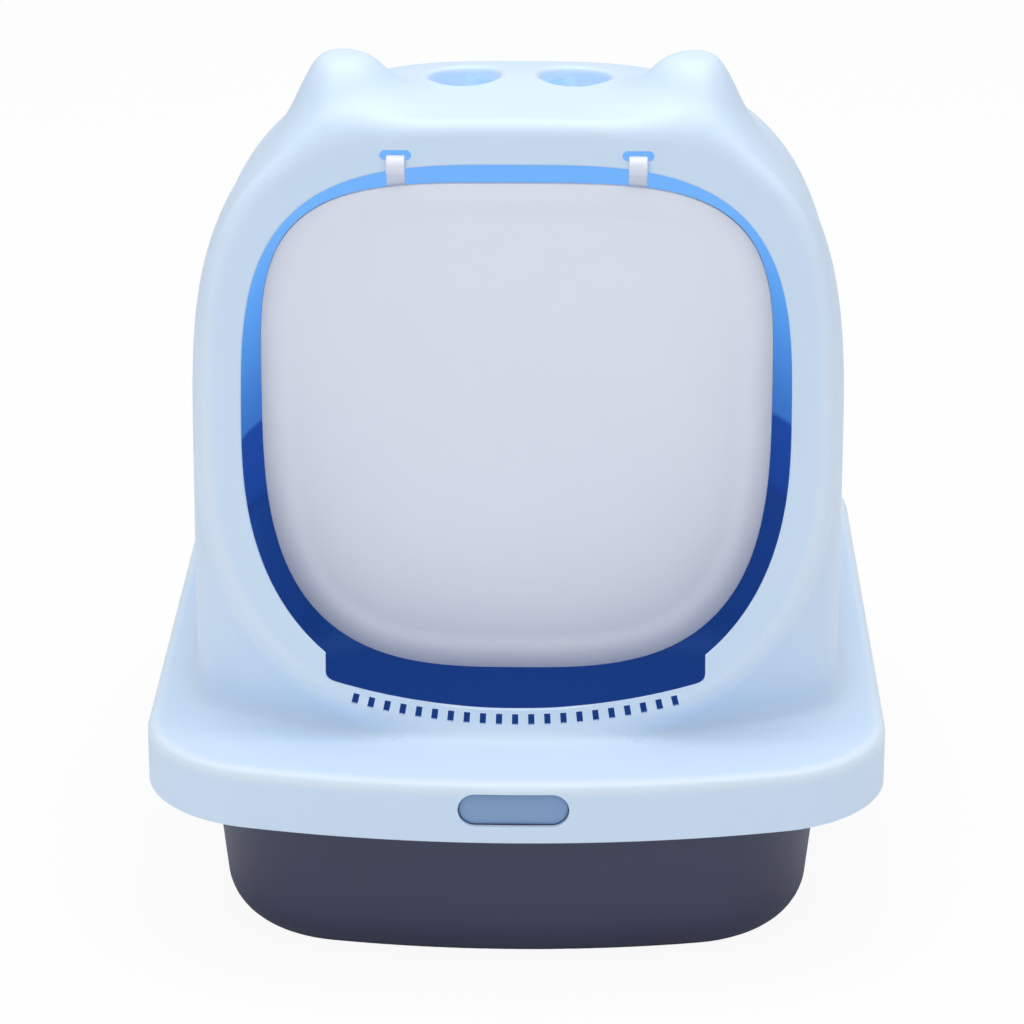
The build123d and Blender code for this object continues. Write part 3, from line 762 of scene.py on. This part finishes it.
def make_hood():
    """The hood as one smooth moulding, which stands for the CAD node."""
    shell = net_object("hood_shell", hood_skin, LIP_LOW - BELOW, GRID_STEP)
    cut(shell, net_object("hood_room", hood_inside, LIP_LOW - 2 * BELOW, ROOM_STEP))
    reach = 2 * LIP_REACH
    base = box_outline(-reach, -reach, reach, reach)
    cut(shell, prism("base", base, upright, (LIP_LOW - 4 * BELOW, LIP_LOW)))
    cut_ring(shell)
    button = stadium(*BUTTON_SLOT, (0, BUTTON_Z))
    cut(shell, prism("button_slot", button, facing_front, (-LIP_REACH - THROUGH, -LIP_REACH + THROUGH)))
    shell.data.materials.clear()
    shell.data.materials.append(hood_plastic)
    shell.data.materials.append(room_shade_and_glow)
    true_normals(shell)
    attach(shell, "hood")
    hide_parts("hood")


def soften(obj, material, body, angle=35):
    """Smooth shading up to an angle, the material and the body that carries the piece."""
    mesh = obj.data
    mesh.polygons.foreach_set("use_smooth", np.ones(len(mesh.polygons), bool))
    mesh.set_sharp_from_angle(angle=math.radians(angle))
    mesh.materials.clear()
    mesh.materials.append(material)
    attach(obj, body)


def joined(name, parts):
    """Several mesh objects as one."""
    work = bmesh.new()
    for part in parts:
        work.from_mesh(part.data)
        bpy.data.objects.remove(part)
    mesh = bpy.data.meshes.new(name)
    work.to_mesh(mesh)
    work.free()
    obj = bpy.data.objects.new(name, mesh)
    bpy.context.scene.collection.objects.link(obj)
    return obj


def arc(middle, radius, start, stop, count=32):
    """Points on part of a circle, angles in degrees."""
    angles = [math.radians(start + (stop - start) * i / count) for i in range(count + 1)]
    return [(middle[0] + radius * math.cos(a), middle[1] + radius * math.sin(a)) for a in angles]


def plate(name, outline, low, high):
    """An upright plate between two places on X, with small round edges."""
    depths = (low, low + EDGE_ROUND, high - EDGE_ROUND, high)
    return prism(name, outline, facing_side, depths, (-EDGE_ROUND, 0, 0, -EDGE_ROUND))


def make_flap():
    """The flap, with a softly recessed panel, and its two open hooks."""
    depths, growth = zip(*FLAP_PROFILE)
    outline = oval(*FLAP_OVAL, count=192)
    parts = [prism("flap", outline, facing_front, [FLAP_FRONT + depth for depth in depths], growth)]
    inner, outer = HOOK_RADII
    y, z = HOOK_AXIS
    outline = [(y + outer, z - HOOK_LEG), *arc(HOOK_AXIS, outer, 0, 240), *arc(HOOK_AXIS, inner, 240, 0)]
    outline.append((y + inner, z - HOOK_LEG))
    for side in (-1, 1):
        middle = side * HOOK_X
        parts.append(plate("hook", outline, middle - HOOK_HALF, middle + HOOK_HALF))
    flap = joined("flap_panel", parts)
    soften(flap, flap_plastic, "flap")
    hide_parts("flap")


def make_button():
    """The latch button's rounded cap."""
    depths, growth = zip(*BUTTON_PROFILE)
    outline = stadium(*BUTTON_CAP, (0, BUTTON_Z))
    button = prism("button_cap", outline, facing_front, depths, growth)
    soften(button, button_plastic, "latch")
    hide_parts("latch_button")


def make_fittings():
    """The hood's hinge ears behind the lip and its screw bosses under the deck."""
    middle = (HINGE_Y, HINGE_Z)
    outline = [(LIP_REACH - WALL / 2, LIP_LOW), *arc(middle, PLATE_ROUND, -90, 90)]
    outline.append((LIP_REACH - WALL / 2, HINGE_Z + 2 * PLATE_ROUND))
    near, far = PLATE
    pin_hole = arc(middle, PIN_HOLE, 0, 360, 48)[:-1]
    plates = []
    for side in (-1, 1):
        for shift in ((near, far), (-far, -near)):
            low, high = (side * HINGE_X + move for move in shift)
            ear = plate("plate", outline, low, high)
            cut(ear, prism("hole", pin_hole, facing_side, (low - 1, high + 1)))
            plates.append(ear)
    soften(joined("hinge_ears", plates), hood_plastic, "hood")
    bosses = []
    for side in (-1, 1):
        middle = (side * BOSS[0], BOSS[1])
        low, high = BOSS_LEVELS
        outline = arc(middle, BOSS_RADIUS, 0, 360, 48)[:-1]
        boss = prism("boss", outline, upright, (low, low + EDGE_ROUND, high), (-EDGE_ROUND, 0, 0))
        screw_hole = arc(middle, SCREW_HOLE, 0, 360, 32)[:-1]
        cut(boss, prism("hole", screw_hole, upright, (low - 1, SCREW_DEPTH)))
        bosses.append(boss)
    soften(joined("screw_bosses", bosses), hood_plastic, "hood")


def make_floor():
    """A pale floor that runs past the view, whiter to the camera, with the object's shadow kept."""
    mesh = bpy.data.meshes.new("floor")
    reach = FLOOR_REACH
    corners = [(-reach, -reach, 0), (reach, -reach, 0), (reach, reach, 0), (-reach, reach, 0)]
    mesh.from_pydata(corners, [], [(0, 1, 2, 3)])
    floor = bpy.data.objects.new("floor", mesh)
    bpy.context.scene.collection.objects.link(floor)
    material = bpy.data.materials.new("floor_paint")
    material.use_nodes = True
    shader = material.node_tree.nodes["Principled BSDF"]
    shader.inputs["Base Color"].default_value = FLOOR_COLOUR
    shader.inputs["Roughness"].default_value = 0.9
    tree = material.node_tree
    white = tree.nodes.new("ShaderNodeEmission")
    white.inputs["Strength"].default_value = 1.0
    seen = tree.nodes.new("ShaderNodeMath")
    seen.operation = "MULTIPLY"
    seen.inputs[1].default_value = FLOOR_WHITE
    mix = tree.nodes.new("ShaderNodeMixShader")
    link = tree.links.new
    link(tree.nodes.new("ShaderNodeLightPath").outputs["Is Camera Ray"], seen.inputs[0])
    link(seen.outputs["Value"], mix.inputs["Fac"])
    link(shader.outputs["BSDF"], mix.inputs[1])
    link(white.outputs["Emission"], mix.inputs[2])
    link(mix.outputs["Shader"], tree.nodes["Material Output"].inputs["Surface"])
    mesh.materials.append(material)


def make_world():
    """An even world, white to the camera."""
    world = bpy.data.worlds.new("studio")
    bpy.context.scene.world = world
    world.use_nodes = True
    tree = world.node_tree
    light = tree.nodes["Background"]
    light.inputs["Color"].default_value = SKY
    light.inputs["Strength"].default_value = SKY_STRENGTH
    seen = tree.nodes.new("ShaderNodeBackground")
    seen.inputs["Color"].default_value = (1, 1, 1, 1)
    seen.inputs["Strength"].default_value = 1.0
    path = tree.nodes.new("ShaderNodeLightPath")
    mix = tree.nodes.new("ShaderNodeMixShader")
    link = tree.links.new
    link(path.outputs["Is Camera Ray"], mix.inputs["Fac"])
    link(light.outputs["Background"], mix.inputs[1])
    link(seen.outputs["Background"], mix.inputs[2])
    link(mix.outputs["Shader"], tree.nodes["World Output"].inputs["Surface"])


def lamp(name, place, target, size, watts, tint):
    """A square soft light aimed at a point."""
    data = bpy.data.lights.new(name, "AREA")
    data.size = size
    data.energy = watts
    data.color = tint
    obj = bpy.data.objects.new(name, data)
    obj.location = place
    obj.rotation_euler = (Vector(target) - Vector(place)).to_track_quat("-Z", "Y").to_euler()
    bpy.context.scene.collection.objects.link(obj)


def make_camera():
    """The camera at the photograph's viewing angle."""
    data = bpy.data.cameras.new("camera")
    data.sensor_width = SENSOR
    data.lens = FOCAL_PIXELS / IMAGE_PIXELS * SENSOR
    data.clip_end = 50
    obj = bpy.data.objects.new("camera", data)
    obj.location = CAMERA_PLACE
    obj.rotation_euler = (math.radians(90 - CAMERA_PITCH), 0, math.radians(CAMERA_YAW))
    bpy.context.scene.collection.objects.link(obj)
    bpy.context.scene.camera = obj


make_hood()
make_flap()
make_button()
make_fittings()
make_floor()
make_world()
make_camera()
lamp("key", **KEY_LAMP)
lamp("fill", **FILL_LAMP)
bpy.context.scene.view_settings.view_transform = "Standard"
